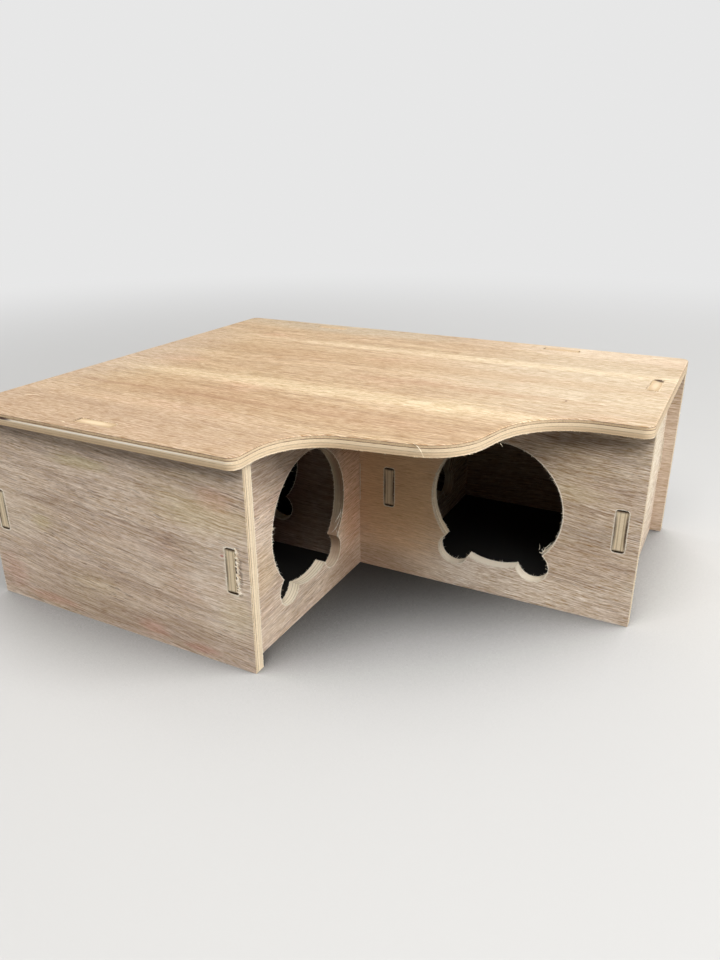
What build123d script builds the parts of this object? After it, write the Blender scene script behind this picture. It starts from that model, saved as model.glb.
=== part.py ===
from build123d import *

import os
from math import cos, radians, sin, tan

os.makedirs("parts", exist_ok=True)

# A flat-pack hamster house: seven upright plywood panels that lock together with tabs in
# slots, and a lift-off roof that drops over the tabs on top of three of them. It has no
# floor. One room stands at the front left; two more lie side by side behind it.
# X runs from left to right, Y from front to back and Z up from the ground. The origin is on
# the ground, under the middle of the roof.

# ---- sizes that drive everything, in millimetres and degrees ----

sheet = 5.8                     # thickness of the plywood all the panels are cut from
wall_height = 100.0             # ground to the underside of the roof

front_room_width = 137.5        # clear sizes of the rooms, between the faces of the walls
front_room_depth = 108.0
right_room_width = 115.0
back_room_depth = 112.6
divider_step = 15.0             # from the inner side wall's outer face right to the divider
end_margin = 6.4                # how far the front, cross and back walls run past the side walls

tab_length = 20.4               # along the edge that the tab stands on
tab_side_gap = 0.2              # between a tab and each long side of its slot
tab_end_gap = 1.0               # between a tab and each end of its slot
slot_corner_radius = 1.5        # left by the cutter
tab_middle_height = 50.0        # the tabs that join the walls, above the ground
back_tab_spacing = 160.0        # between the two roof tabs of the back wall

doorway_diameter = 68.5         # the round part
doorway_height = 51.0           # its middle, above the ground
inner_doorway_height = 54.0     # the same for the doorway between the two left rooms
side_doorway_setback = 1.5      # how far the side doorway lies behind the middle of its wall
ear_diameter = 17.0             # the two small round ears at the foot of each doorway
ear_spread = 42.2               # between their middles
ear_drop = 29.5                 # from the middle of the round part down to their middles

front_overhang = 6.4            # roof past the front wall
back_overhang = 6.4             # roof past the back wall
step_overhang = 8.7             # roof past the right part of the cross wall
neck_overhang = 0.9             # roof past the right end of the front wall
roof_corner_radius = 5.0
roof_edge_rounding = 0.8        # sanded upper edge

neck_length = 13.6              # straight side of the neck, in front of the first bend
step_straight = 20.0            # straight front edge from the last bend to the right edge
middle_heading = 8.0            # direction of the wave's middle run, turned from X
rise_heading = 77.0             # direction of its rise, from the nose to the last bend
nose_share = 0.95               # radius of the nose over the right doorway, to the first bend's
rise_share = 0.41               # length of the rise, to the first bend's radius
last_bend_share = 1.37          # radius of the last bend, to the first bend's

# ---- where things stand, worked out from the sizes above ----

slot_width = sheet + 2 * tab_side_gap
slot_length = tab_length + 2 * tab_end_gap

overall_width = (2 * end_margin + 3 * sheet + front_room_width + divider_step
                 + sheet + right_room_width)
walls_depth = 3 * sheet + front_room_depth + back_room_depth
overall_depth = front_overhang + walls_depth + back_overhang

left_edge = -overall_width / 2
right_edge = overall_width / 2
roof_front = -overall_depth / 2
roof_back = overall_depth / 2

# Left faces of the panels that run from front to back.
left_wall_x = left_edge + end_margin
side_wall_x = left_wall_x + sheet + front_room_width
divider_x = side_wall_x + sheet + divider_step
right_wall_x = divider_x + sheet + right_room_width
front_wall_right = side_wall_x + sheet + end_margin

# Front faces of the panels that run from left to right.
front_wall_y = roof_front + front_overhang
cross_wall_y = front_wall_y + sheet + front_room_depth
back_wall_y = cross_wall_y + sheet + back_room_depth

# Middles that tabs, slots and doorways are set out from.
front_wall_middle = (left_edge + front_wall_right) / 2
front_room_middle_x = left_wall_x + sheet + front_room_width / 2
front_room_middle_y = front_wall_y + sheet + front_room_depth / 2
back_room_middle_y = cross_wall_y + sheet + back_room_depth / 2
right_doorway_x = (front_wall_right + right_edge) / 2
half_sheet = sheet / 2


# ---- flat shapes: first number along the wall, second number up ----

def doorway(along, height):
    """Round opening with two small round ears at its foot."""
    shape = Circle(doorway_diameter / 2)
    for side in (-1, 1):
        shape += Pos(side * ear_spread / 2, -ear_drop) * Circle(ear_diameter / 2)
    return Pos(along, height) * shape


def wall_slot(along):
    """Upright slot for the tab of a wall that meets this one at a right angle."""
    return Pos(along, tab_middle_height) * RectangleRounded(
        slot_width, slot_length, slot_corner_radius)


def wall_outline(start, end, end_tabs=(), top_tabs=()):
    """Wall from start to end, with a tab on the named ends and on top at the given places."""
    shape = Pos((start + end) / 2, wall_height / 2) * Rectangle(end - start, wall_height)
    for tip in end_tabs:
        middle = start - half_sheet if tip == "start" else end + half_sheet
        shape += Pos(middle, tab_middle_height) * Rectangle(sheet, tab_length)
    for along in top_tabs:
        shape += Pos(along, wall_height + half_sheet) * Rectangle(tab_length, sheet)
    return shape


def left_right_wall(shape, front_face):
    """Stand a flat shape up as a wall that runs from left to right."""
    return extrude(Plane.XZ.offset(-front_face - sheet) * shape, sheet)


def front_back_wall(shape, left_face):
    """Stand a flat shape up as a wall that runs from front to back."""
    return extrude(Plane.YZ.offset(left_face) * shape, sheet)


# ---- the walls ----

side_wall_slots = [wall_slot(x + half_sheet) for x in (left_wall_x, side_wall_x)]
back_tabs = (-back_tab_spacing / 2, back_tab_spacing / 2)

front_wall = left_right_wall(
    wall_outline(left_edge, front_wall_right, top_tabs=[front_wall_middle])
    - side_wall_slots,
    front_wall_y)

# The cross wall closes the front room at the back and the right room at the front. Its left
# end is tabbed into the left wall; its right end runs free past the right wall.
cross_wall = left_right_wall(
    wall_outline(left_wall_x + sheet, right_edge, end_tabs=["start"])
    - [wall_slot(x + half_sheet) for x in (side_wall_x, divider_x, right_wall_x)]
    - doorway(front_room_middle_x, inner_doorway_height)
    - doorway(right_doorway_x, doorway_height),
    cross_wall_y)

back_wall = left_right_wall(
    wall_outline(left_edge, right_edge, top_tabs=back_tabs)
    - [wall_slot(x + half_sheet) for x in (left_wall_x, divider_x, right_wall_x)],
    back_wall_y)

left_wall = front_back_wall(
    wall_outline(front_wall_y + sheet, back_wall_y, end_tabs=["start", "end"])
    - wall_slot(cross_wall_y + half_sheet),
    left_wall_x)

inner_side_wall = front_back_wall(
    wall_outline(front_wall_y + sheet, cross_wall_y, end_tabs=["start", "end"])
    - doorway(front_room_middle_y + side_doorway_setback, doorway_height),
    side_wall_x)

divider = front_back_wall(
    wall_outline(cross_wall_y + sheet, back_wall_y, end_tabs=["start", "end"])
    - doorway(back_room_middle_y, doorway_height),
    divider_x)

right_wall = front_back_wall(
    wall_outline(cross_wall_y + sheet, back_wall_y, end_tabs=["start", "end"],
                 top_tabs=[back_room_middle_y]),
    right_wall_x)


# ---- the roof ----

def roof_outline():
    """Outline of the roof: square at the back, with a wavy step at the front right.

    From the neck to the step the wave is a hollow bend, a middle run, the round nose, a
    straight rise and a last hollow bend. The bends keep their proportions and are as large as
    the step is deep; the middle run takes up what is left of its width.
    """
    neck_x = front_wall_right + neck_overhang
    step_front = cross_wall_y - step_overhang
    wave_width = right_edge - step_straight - neck_x
    wave_depth = step_front - roof_front - neck_length

    # How far the bends and the rise reach across and back, for a first bend of radius 1.
    middle_angle, rise_angle = radians(middle_heading), radians(rise_heading)
    across = (1 - sin(middle_angle)
              + nose_share * (sin(rise_angle) - sin(middle_angle))
              + rise_share * cos(rise_angle)
              + last_bend_share * sin(rise_angle))
    back = (cos(middle_angle)
            + nose_share * (cos(middle_angle) - cos(rise_angle))
            + rise_share * sin(rise_angle)
            + last_bend_share * (1 - cos(rise_angle)))
    slope = tan(middle_angle)
    bend_radius = (wave_depth - wave_width * slope) / (back - across * slope)
    middle_run = (wave_width - bend_radius * across) / cos(middle_angle)

    neck = Line((neck_x, roof_front), (neck_x, roof_front + neck_length))
    first_bend = JernArc(neck @ 1, neck % 1, bend_radius, middle_heading - 90)
    middle = PolarLine(first_bend @ 1, middle_run, direction=first_bend % 1)
    nose = JernArc(middle @ 1, middle % 1, bend_radius * nose_share,
                   rise_heading - middle_heading)
    rise = PolarLine(nose @ 1, bend_radius * rise_share, direction=nose % 1)
    last_bend = JernArc(rise @ 1, rise % 1, bend_radius * last_bend_share, -rise_heading)
    straight_sides = Polyline(last_bend @ 1, (right_edge, step_front), (right_edge, roof_back),
                              (left_edge, roof_back), (left_edge, roof_front), neck @ 0)
    outline = make_face([neck, first_bend, middle, nose, rise, last_bend, straight_sides])

    corners = [v for v in outline.vertices()
               if abs(v.X) > right_edge - 0.01 or v.Y < roof_front + 0.01]
    return fillet(corners, roof_corner_radius)


def roof_slot(x, y, turn=0):
    """Slot for a tab on top of a wall; turned by 90 it lies from front to back."""
    return Pos(x, y) * Rot(0, 0, turn) * RectangleRounded(
        slot_length, slot_width, slot_corner_radius)


roof_sheet = extrude(Pos(0, 0, wall_height) * roof_outline(), sheet)
upper_edge = roof_sheet.faces().sort_by(Axis.Z)[-1].outer_wire().edges()
roof = fillet(upper_edge, roof_edge_rounding)

roof_slots = [roof_slot(front_wall_middle, front_wall_y + half_sheet),
              roof_slot(right_wall_x + half_sheet, back_room_middle_y, turn=90)]
roof_slots += [roof_slot(along, back_wall_y + half_sheet) for along in back_tabs]
for slot in roof_slots:
    roof -= extrude(Pos(0, 0, wall_height) * slot, sheet)


# ---- one file for each piece ----

pieces = {
    "front_wall": front_wall,
    "inner_side_wall": inner_side_wall,
    "cross_wall": cross_wall,
    "divider": divider,
    "right_wall": right_wall,
    "back_wall": back_wall,
    "left_wall": left_wall,
    "roof": roof,
}
for name, piece in pieces.items():
    piece.label = name
    export_step(piece, f"parts/{name}.step")
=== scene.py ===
"""Looks of a flat-pack wooden hamster house: bare plywood panels and the fibres torn out of them.

The eight plywood panels keep their solid shapes and get plywood materials. Torn fibres and
splinters are pieces of their own. Marks, splinters and the sizes of the panels are given in
millimetres, and everything else in metres. X runs from left to right, Y from front to back and
Z up.
"""

import logging
import math
from dataclasses import dataclass, fields, replace
from enum import Enum

import bpy
import numpy as np
from mathutils import Matrix, Vector


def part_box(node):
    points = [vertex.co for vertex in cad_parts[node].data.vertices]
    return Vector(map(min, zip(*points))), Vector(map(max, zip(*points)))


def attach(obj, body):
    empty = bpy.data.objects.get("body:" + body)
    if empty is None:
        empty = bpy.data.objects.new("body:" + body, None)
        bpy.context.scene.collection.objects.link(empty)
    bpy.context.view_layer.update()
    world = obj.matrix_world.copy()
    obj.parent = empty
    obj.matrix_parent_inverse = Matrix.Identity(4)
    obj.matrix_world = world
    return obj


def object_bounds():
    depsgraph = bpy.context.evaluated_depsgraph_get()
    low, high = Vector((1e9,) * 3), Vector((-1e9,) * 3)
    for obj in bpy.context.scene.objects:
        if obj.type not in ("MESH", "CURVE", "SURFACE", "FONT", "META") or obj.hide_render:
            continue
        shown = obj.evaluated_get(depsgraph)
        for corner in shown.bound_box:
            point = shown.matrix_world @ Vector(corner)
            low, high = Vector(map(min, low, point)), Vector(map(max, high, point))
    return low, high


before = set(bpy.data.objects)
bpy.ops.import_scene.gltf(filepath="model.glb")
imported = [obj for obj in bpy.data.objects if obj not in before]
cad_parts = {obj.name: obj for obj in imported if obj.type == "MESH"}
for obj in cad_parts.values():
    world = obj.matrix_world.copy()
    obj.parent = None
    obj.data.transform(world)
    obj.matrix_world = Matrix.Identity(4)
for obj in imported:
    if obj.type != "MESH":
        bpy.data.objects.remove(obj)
cad_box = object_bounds()

LOG = logging.getLogger("hamster_house")
MM = 0.001
PROUD = 0.3 * MM                # the most that a torn fibre stands out of the house's own box
TINY = 1e-12                    # keeps a division by a length from failing on a length of nothing

# Sizes of the house, in millimetres.
SHEET = 5.8                     # thickness of the plywood
HALF_SHEET = SHEET / 2
ROOF_TOP = 105.8
JOINT_HEIGHT = 50.0             # middles of the tabs and slots that join the walls
SLOT_LENGTH = 22.4
SLOT_WIDTH = 6.2
SLOT_RADIUS = 1.5
DOORWAY_RADIUS = 34.25
EAR_RADIUS = 8.5
EAR_ASIDE = 21.1                # from the middle of a doorway to that of an ear at its foot
EAR_DROP = 29.5

# Middles of the walls that run from front to back, in X, and of the others, in Y.
LEFT, SIDE, DIVIDER, RIGHT = -142.45, 0.85, 21.65, 142.45
FRONT, CROSS, BACK = -116.1, -2.3, 116.1

Colour = tuple[float, float, float, float]
Point = tuple[float, float, float]
Faces = list[list[int]]


def tone(code: str) -> Colour:
    """Turn a colour as it looks on a screen into the linear colour that a shader takes.

    Args:
        code: six hexadecimal digits, red first.

    Returns:
        Linear red, green and blue, and an alpha of 1.
    """
    parts = [int(code[i:i + 2], 16) / 255 for i in (0, 2, 4)]
    linear = [p / 12.92 if p <= 0.04045 else ((p + 0.055) / 1.055) ** 2.4 for p in parts]
    return (linear[0], linear[1], linear[2], 1.0)


# ---------------------------------------------------------------------------------------------
# Node graphs
# ---------------------------------------------------------------------------------------------

@dataclass(frozen=True)
class Signal:
    """What one node gives. A sum on signals adds one Math node to the graph."""

    graph: "Graph"
    socket: bpy.types.NodeSocket

    def __add__(self, other: "Signal | float") -> "Signal":
        """This and the other."""
        return self.graph.math("ADD", self, other)

    def __sub__(self, other: "Signal | float") -> "Signal":
        """This less the other."""
        return self.graph.math("SUBTRACT", self, other)

    def __rsub__(self, other: float) -> "Signal":
        """A number less this."""
        return self.graph.math("SUBTRACT", other, self)

    def __mul__(self, other: "Signal | float") -> "Signal":
        """This times the other."""
        return self.graph.math("MULTIPLY", self, other)

    def __truediv__(self, other: "Signal | float") -> "Signal":
        """This over the other."""
        return self.graph.math("DIVIDE", self, other)

    def __pow__(self, other: float) -> "Signal":
        """This to a power."""
        return self.graph.math("POWER", self, other)

    def __abs__(self) -> "Signal":
        """This without its sign."""
        return self.graph.math("ABSOLUTE", self)


@dataclass(frozen=True)
class Cloud:
    """A cloudy noise from 0 to 1, and the smooth step that it goes through.

    stretch is in cells to the metre along the grain, across it and in depth. The step goes from
    give[0] to give[1] as the noise goes from take[0] to take[1]. Without a take there is no step.
    """

    stretch: Point
    detail: float = 2.0
    rough: float = 0.5
    take: tuple[float, float] | None = None
    give: tuple[float, float] = (0.0, 1.0)


class Graph:
    """Adds nodes to one node tree and wires them, so that a pattern reads as a few lines."""

    def __init__(self, tree: bpy.types.NodeTree) -> None:
        """Start on an empty tree."""
        self.tree = tree
        tree.nodes.clear()

    def set(self, socket: bpy.types.NodeSocket, value: object) -> None:
        """Wire a socket to a signal, or give it a plain value.

        Args:
            socket: the input socket.
            value: a signal, a plain value, or None to leave the socket as it is.
        """
        if isinstance(value, Signal):
            self.tree.links.new(value.socket, socket)
        elif value is not None:
            socket.default_value = value

    def node(self, kind: str, settings: dict[str, object] | None = None,
             **inputs: object) -> bpy.types.Node:
        """Add a node.

        Args:
            kind: the node's type, without the leading "ShaderNode".
            settings: properties of the node itself.
            inputs: values or signals for its inputs, by name with _ for a space.

        Returns:
            The new node.
        """
        made = self.tree.nodes.new("ShaderNode" + kind)
        for name, value in (settings or {}).items():
            setattr(made, name, value)
        for name, value in inputs.items():
            self.set(made.inputs[name.replace("_", " ")], value)
        return made

    def outputs(self, kind: str, settings: dict[str, object] | None = None,
                **inputs: object) -> dict[str, Signal]:
        """Add a node and give what it gives.

        Args:
            kind: the node's type, without the leading "ShaderNode".
            settings: properties of the node itself.
            inputs: values or signals for its inputs, by name with _ for a space.

        Returns:
            Its signals by name. Where two have one name, the first is meant.
        """
        made = self.node(kind, settings, **inputs)
        return {socket.name: Signal(self, socket) for socket in reversed(made.outputs[:])}

    def group(self, shared: "SharedGroup", **inputs: object) -> dict[str, Signal]:
        """Place a shared group.

        Args:
            shared: the group.
            inputs: values or signals for its inputs, by name with _ for a space.

        Returns:
            Its signals by name.
        """
        return self.outputs("Group", {"node_tree": shared.tree()}, **inputs)

    def math(self, operation: str, a: object, b: object = None, c: object = None) -> Signal:
        """Do one sum on numbers.

        Args:
            operation: the Math node's own word for the sum.
            a: first term.
            b: second term, where the sum has one.
            c: third term, where the sum has one.

        Returns:
            The result.
        """
        made = self.node("Math", {"operation": operation})
        for socket, value in zip(made.inputs, (a, b, c)):
            self.set(socket, value)
        return Signal(self, made.outputs[0])

    def vector(self, operation: str, a: object, b: object = None) -> Signal:
        """Do one sum on vectors.

        Args:
            operation: the Vector Math node's own word for the sum.
            a: first term.
            b: second term, where the sum has one.

        Returns:
            A number for a dot product or a length, and otherwise a vector.
        """
        made = self.node("VectorMath", {"operation": operation})
        self.set(made.inputs[0], a)
        self.set(made.inputs[1], b)
        gives_number = operation in ("DOT_PRODUCT", "LENGTH")
        return Signal(self, made.outputs["Value" if gives_number else "Vector"])

    def span(self, value: object, low: float, high: float, to_low: float = 0.0,
             to_high: float = 1.0) -> Signal:
        """Take a smooth step.

        Args:
            value: what the step depends on.
            low: the value at which it starts.
            high: the value at which it ends.
            to_low: the result at low and before.
            to_high: the result at high and beyond.

        Returns:
            The result.
        """
        return self.outputs("MapRange", {"interpolation_type": "SMOOTHSTEP"}, Value=value,
                            From_Min=low, From_Max=high, To_Min=to_low, To_Max=to_high)["Result"]

    def mix(self, share: object, a: object, b: object, blend: str = "MIX") -> Signal:
        """Turn a colour into another one.

        Args:
            share: how far, from 0 to 1.
            a: the colour at 0.
            b: the colour at 1, or what the first is blended with.
            blend: the Mix node's own word for the way of blending.

        Returns:
            The mixed colour.
        """
        made = self.node("Mix", {"data_type": "RGBA", "blend_type": blend})
        for place, value in ((0, share), (6, a), (7, b)):
            self.set(made.inputs[place], value)
        return Signal(self, made.outputs[2])

    def noise(self, point: object, cloud: Cloud) -> Signal:
        """Lay a cloudy noise over the points.

        Args:
            point: the place, in metres.
            cloud: the noise's cells, and its step if it has one.

        Returns:
            The noise, after its step.
        """
        scaled = self.vector("MULTIPLY", point, cloud.stretch)
        made = self.outputs("TexNoise", Vector=scaled, Scale=1.0, Detail=cloud.detail,
                            Roughness=cloud.rough)["Fac"]
        return self.span(made, *cloud.take, *cloud.give) if cloud.take else made


class Socket(Enum):
    """The kinds of socket that a shared group has."""

    NUMBER = "NodeSocketFloat"
    COLOUR = "NodeSocketColor"
    VECTOR = "NodeSocketVector"


class SharedGroup:
    """A node group that is built once and placed in many materials."""

    name: str = ""
    takes: dict[str, Socket] = {}
    gives: dict[str, Socket] = {}

    def tree(self) -> bpy.types.NodeTree:
        """Find the group's tree, or build it the first time.

        Returns:
            The tree.
        """
        made = bpy.data.node_groups.get(self.name)
        if made is None:
            made = bpy.data.node_groups.new(self.name, "ShaderNodeTree")
            for way, sockets in (("INPUT", self.takes), ("OUTPUT", self.gives)):
                for label, kind in sockets.items():
                    made.interface.new_socket(name=label, in_out=way, socket_type=kind.value)
            graph = Graph(made)
            taken = made.nodes.new("NodeGroupInput").outputs
            given = made.nodes.new("NodeGroupOutput").inputs
            source = {socket.name: Signal(graph, socket) for socket in taken}
            for label, value in self.wire(graph, source).items():
                graph.set(given[label], value)
        return made

    def wire(self, graph: Graph, source: dict[str, Signal]) -> dict[str, Signal]:
        """Build the inside of the group.

        Args:
            graph: the group's own graph.
            source: what the group takes, by name.

        Returns:
            What it gives, by name.
        """
        raise NotImplementedError


class PanelSpace(SharedGroup):
    """Turns a point into a panel's own measures: along its grain, across its grain, and how deep
    below its outer face. The three axes are unit vectors, and the depth is counted from the outer
    face's own distance."""

    name = "Panel space"
    takes = {"Point": Socket.VECTOR, "Facing": Socket.VECTOR, "Along": Socket.VECTOR,
             "Across": Socket.VECTOR, "Inward": Socket.VECTOR, "Outer Face": Socket.NUMBER}
    gives = {"Point": Socket.VECTOR, "Depth": Socket.NUMBER, "End Grain": Socket.NUMBER,
             "Cross Grain": Socket.NUMBER}

    def wire(self, graph: Graph, source: dict[str, Signal]) -> dict[str, Signal]:
        """Take dot products with the three axes, which give the measures and the two slants.

        Args:
            graph: the group's own graph.
            source: what the group takes, by name.

        Returns:
            What it gives, by name.
        """
        along, across, inward = (graph.vector("DOT_PRODUCT", source["Point"], source[axis])
                                 for axis in ("Along", "Across", "Inward"))
        depth = inward - source["Outer Face"]
        point = graph.outputs("CombineXYZ", X=along, Y=across, Z=depth)["Vector"]
        end, cross = (abs(graph.vector("DOT_PRODUCT", source["Facing"], source[axis]))
                      for axis in ("Along", "Across"))
        return {"Point": point, "Depth": depth, "End Grain": end, "Cross Grain": cross}


class Veneer(SharedGroup):
    """Face veneer: soft bands along the grain, thin wandering grain lines, short dark pores in
    clusters, and pink and straw-coloured patches. Slope leans the grain by that many metres across
    for each metre along. Shade is the fine grain's light and dark, for a multiply; it moves blue
    more than red, so that the fine grain keeps its hue."""

    name = "Veneer"
    takes = {"Point": Socket.VECTOR, "Seed": Socket.NUMBER, "Slope": Socket.NUMBER,
             "Pale": Socket.COLOUR, "Middle": Socket.COLOUR, "Dark": Socket.COLOUR,
             "Pore": Socket.COLOUR, "Pink": Socket.COLOUR, "Straw": Socket.COLOUR,
             "Band Share": Socket.NUMBER, "Line Share": Socket.NUMBER, "Pore Share": Socket.NUMBER,
             "Patch Share": Socket.NUMBER, "Grain Share": Socket.NUMBER}
    gives = {"Color": Socket.COLOUR, "Shade": Socket.VECTOR, "Height": Socket.NUMBER}

    SEED_WAY = (1.37, 0.73, 2.11)       # metres that a seed of 1 moves the pattern
    # Noises that bend the grain, and how far each moves it across, in metres.
    WIDE_BEND = (Cloud((6, 10, 6), 1.0), 0.018)
    NEAR_BEND = (Cloud((36, 80, 36)), 0.0022)
    HOOK = (Cloud((150, 240, 150)), 0.0007)
    BAND = Cloud((2.2, 52, 6), take=(0.34, 0.66))
    STREAK = Cloud((14, 230, 14), 3.0, 0.65, (0.52, 0.76))
    STREAK_SHARE = 0.10
    # Noises whose middle value draws thin lines, and half the range that a line takes up.
    LINES = ((Cloud((16, 330, 30), rough=0.6), 0.090), (Cloud((26, 520, 50), rough=0.6), 0.085))
    LINE_GATE = Cloud((24, 210, 40), take=(0.40, 0.60), give=(0.25, 1.0))
    PORE = Cloud((150, 1450, 250), rough=0.6, take=(0.57, 0.66))
    CLUSTER = Cloud((9, 60, 9), take=(0.36, 0.62))
    CLUSTER_SHARE = 0.60                # of the pores' strength
    RIPPLE_TURNS = 4700.0               # radians of the ripple to the metre across
    RIPPLE_BEND = Cloud((34, 150, 34))
    RIPPLE_BEND_TURNS = 22.0            # radians that the bend's noise moves it
    RIPPLE_GATE = Cloud((50, 200, 50), take=(0.42, 0.64), give=(0.0, 0.13))
    DASH = Cloud((80, 1500, 150), 1.0, take=(0.34, 0.66), give=(-0.15, 0.15))
    SPECK = Cloud((240, 1700, 400), rough=0.7)
    SPECK_SWING = 1.25
    FIBRE = Cloud((230, 3400, 900), rough=0.7)
    FIBRE_SHADE = (0.25, 0.75, 0.89, 1.10)
    PATCH = Cloud((16, 30, 16))
    RED_SWING, BLUE_SWING = 0.74, 1.36  # of the fine grain, to green's

    def contour(self, graph: Graph, point: Signal, cloud: Cloud, half: float) -> Signal:
        """Draw thin lines where a noise passes through its middle value.

        Args:
            graph: the group's own graph.
            point: the place, in metres.
            cloud: the noise.
            half: how far off its middle value a line ends.

        Returns:
            1 in the middle of a line and 0 beside it.
        """
        return graph.span(abs(graph.noise(point, cloud) - 0.5), 0.0, half, 1.0, 0.0)

    def wire(self, graph: Graph, source: dict[str, Signal]) -> dict[str, Signal]:
        """Lay noises stretched along the grain over a point whose place across the grain is bent
        by three wider ones.

        Args:
            graph: the group's own graph.
            source: what the group takes, by name.

        Returns:
            What it gives, by name.
        """
        x, y, z = (source["Seed"] * way for way in self.SEED_WAY)
        shift = graph.outputs("CombineXYZ", X=x, Y=y, Z=z)["Vector"]
        point = graph.vector("ADD", source["Point"], shift)
        wide, near, hook = ((graph.noise(point, cloud) - 0.5) * reach
                            for cloud, reach in (self.WIDE_BEND, self.NEAR_BEND, self.HOOK))
        along = graph.outputs("SeparateXYZ", Vector=source["Point"])["X"]
        lean = along * (source["Slope"] * -1.0)
        bend = graph.outputs("CombineXYZ", Y=(lean + hook) + (wide + near))["Vector"]
        bent = graph.vector("ADD", point, bend)

        band = graph.noise(bent, self.BAND)
        line = graph.math("MAXIMUM", *(self.contour(graph, bent, *one) for one in self.LINES))
        line = line * graph.noise(bent, self.LINE_GATE)
        line = graph.math("MAXIMUM", line, graph.noise(bent, self.STREAK) * self.STREAK_SHARE)
        pore = graph.noise(bent, self.PORE) * graph.math(
            "MULTIPLY_ADD", graph.noise(bent, self.CLUSTER), self.CLUSTER_SHARE,
            1.0 - self.CLUSTER_SHARE)
        across = graph.outputs("SeparateXYZ", Vector=bent)["Y"]
        phase = graph.math("MULTIPLY_ADD", graph.noise(bent, self.RIPPLE_BEND),
                           self.RIPPLE_BEND_TURNS, across * self.RIPPLE_TURNS)
        ripple = graph.math("SINE", phase) * graph.noise(bent, self.RIPPLE_GATE)
        speck = graph.math("MULTIPLY_ADD", graph.noise(bent, self.SPECK), self.SPECK_SWING,
                           -self.SPECK_SWING / 2)
        grain = (graph.noise(bent, self.DASH) + ripple) + speck
        fibre = graph.noise(bent, self.FIBRE)
        patch = graph.noise(point, self.PATCH)

        colour = graph.mix(band * source["Band Share"], source["Middle"], source["Pale"])
        pink = graph.span(patch, 0.54, 0.74) * source["Patch Share"]
        straw = graph.span(patch, 0.46, 0.26) * source["Patch Share"]
        colour = graph.mix(straw, graph.mix(pink, colour, source["Pink"]), source["Straw"])
        colour = graph.mix(line * source["Line Share"], colour, source["Dark"])
        colour = graph.mix(pore * source["Pore Share"], colour, source["Pore"])
        green = graph.span(fibre, *self.FIBRE_SHADE) * graph.math(
            "MULTIPLY_ADD", grain, source["Grain Share"], 1.0)
        fine = green - 1.0
        red, blue = (graph.math("MULTIPLY_ADD", fine, swing, 1.0)
                     for swing in (self.RED_SWING, self.BLUE_SWING))
        shade = graph.outputs("CombineXYZ", X=red, Y=green, Z=blue)["Vector"]
        hollow = graph.math("MAXIMUM", pore, line * 0.6)
        return {"Color": colour, "Shade": shade, "Height": (fibre + grain) * 0.45 - hollow}


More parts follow.
